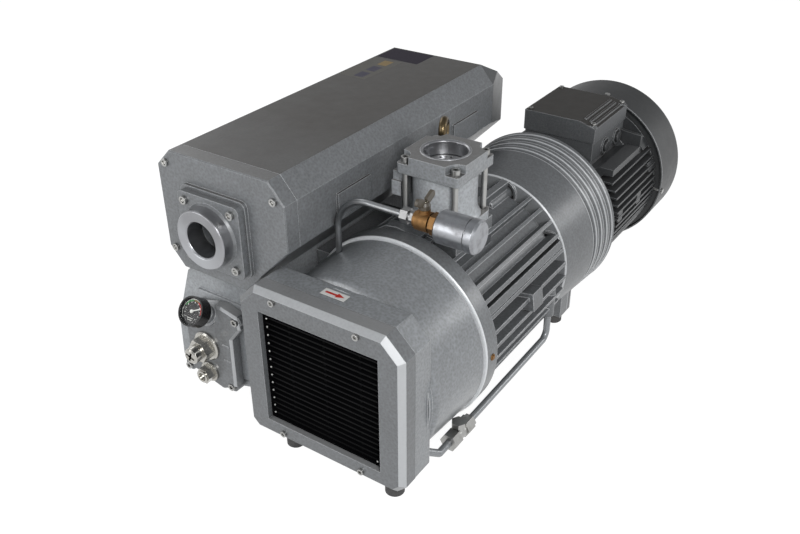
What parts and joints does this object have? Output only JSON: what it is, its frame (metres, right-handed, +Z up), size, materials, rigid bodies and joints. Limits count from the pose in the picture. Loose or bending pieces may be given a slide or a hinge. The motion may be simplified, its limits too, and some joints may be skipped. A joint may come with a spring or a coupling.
{
  "type": "oil-lubricated rotary vane vacuum pump",
  "caption": "Grey oil-lubricated rotary vane vacuum pump with flanged electric motor, oil cooler cowl, exhaust oil separator box and threaded inlet",
  "frame": {"origin": "on the floor at the centre of the four rubber feet, shaft line straight above it", "axes": "+X to the side away from the exhaust box, +Y along the shaft from the oil cooler to the motor, +Z up"},
  "size_m": [0.448, 0.8737, 0.3835],
  "materials": {
    "hammer_paint": "silver grey hammered enamel",
    "motor_paint": "silver grey enamel, smoother",
    "pipe_paint": "silver grey enamel over tube",
    "core_black": "matt black enamel",
    "zinc_steel": "zinc plated",
    "tube_steel": "polished tube",
    "ground_steel": "ground",
    "screen_steel": "stainless",
    "gilt_steel": "yellow zinc plated",
    "bright_chrome": "bright nickel plated",
    "turned_aluminium": "turned",
    "bare_iron": "machined and oiled",
    "rough_brass": "rough cast",
    "plated_brass": "nickel plated",
    "dark_handle": "dark enamel",
    "fan_plastic": "moulded",
    "vane_fibre": "woven fibre in resin",
    "gauge_black": "black case and dial",
    "needle_white": "white",
    "clear_glass": "clear",
    "filter_fabric": "glass fibre felt",
    "seal_rubber": "black",
    "foot_rubber": "dark grey"
  },
  "bodies": {
    "machine": {"radiator_frame": "hammer_paint", "radiator_screws": "zinc_steel", "radiator_core": "core_black", "fan_housing": "hammer_paint", "front_end_plate": "hammer_paint", "pump_cylinder": "hammer_paint", "rear_end_plate": "bare_iron", "pump_bearings": "ground_steel", "shaft_seals": "seal_rubber", "bell_housing": "hammer_paint", "motor_flange": "motor_paint", "motor_frame": "motor_paint", "motor_stator": "bare_iron", "motor_bearings": "ground_steel", "motor_shield": "motor_paint", "motor_cowl": "motor_paint", "cowl_screws": "zinc_steel", "terminal_box": "motor_paint", "terminal_lid": "motor_paint", "lid_screws": "zinc_steel", "cable_plugs": "motor_paint", "inlet_valve_body": "hammer_paint", "inlet_flange": "hammer_paint", "inlet_bolts": "zinc_steel", "inlet_screen": "screen_steel", "valve_spring": "screen_steel", "lifting_eye": "gilt_steel", "ballast_tube": "tube_steel", "ballast_nut": "zinc_steel", "ballast_valve_body": "rough_brass", "ballast_silencer": "turned_aluminium", "separator_body": "hammer_paint", "separator_cover": "hammer_paint", "cover_screws": "zinc_steel", "exhaust_flange": "hammer_paint", "flange_screws": "zinc_steel", "exhaust_filters": "filter_fabric", "sump": "hammer_paint", "oil_block": "hammer_paint", "block_screws": "zinc_steel", "gauge_body": "gauge_black", "gauge_glass": "clear_glass", "filler_plug": "bright_chrome", "drain_plug": "bright_chrome", "oil_pipe": "pipe_paint", "pipe_fittings": "zinc_steel", "feet": "foot_rubber"},
    "drive_train": {"pump_rotor": "ground_steel", "vanes": "vane_fibre", "cooling_fan": "fan_plastic", "pump_coupling": "bare_iron", "coupling_spider": "seal_rubber", "motor_coupling": "bare_iron", "motor_rotor": "ground_steel", "motor_fan": "fan_plastic"},
    "inlet_valve": {"valve_plate": "screen_steel"},
    "ballast_cock": {"ballast_ball": "plated_brass", "ballast_handle": "dark_handle"},
    "needle": {"gauge_needle": "needle_white"},
    "float": {"float_valve": "plated_brass"}
  },
  "joints": [
    {"name": "drive_spin", "type": "hinge", "parent": "machine", "child": "drive_train", "pos_m": [0, 0, 0.142], "axis": [0, 1, 0], "continuous": true},
    {"name": "valve_slide", "type": "slide", "parent": "machine", "child": "inlet_valve", "axis": [0, 0, -1], "range_m": [0, 0.01], "stiffness_N_per_m": 400, "springref_m": -0.012, "deforming": ["valve_spring"]},
    {"name": "ballast_turn", "type": "hinge", "parent": "machine", "child": "ballast_cock", "pos_m": [0.062, -0.136, 0.338], "axis": [0, 0, 1], "range_deg": [0, 90]},
    {"name": "needle_turn", "type": "hinge", "parent": "machine", "child": "needle", "pos_m": [-0.2266, -0.2478, 0.169], "axis": [0, -0.8, 0.6], "range_deg": [-180, 30]},
    {"name": "float_lift", "type": "hinge", "parent": "machine", "child": "float", "pos_m": [-0.215, 0.01, 0.06], "axis": [-1, 0, 0], "range_deg": [0, 25]}
  ]
}
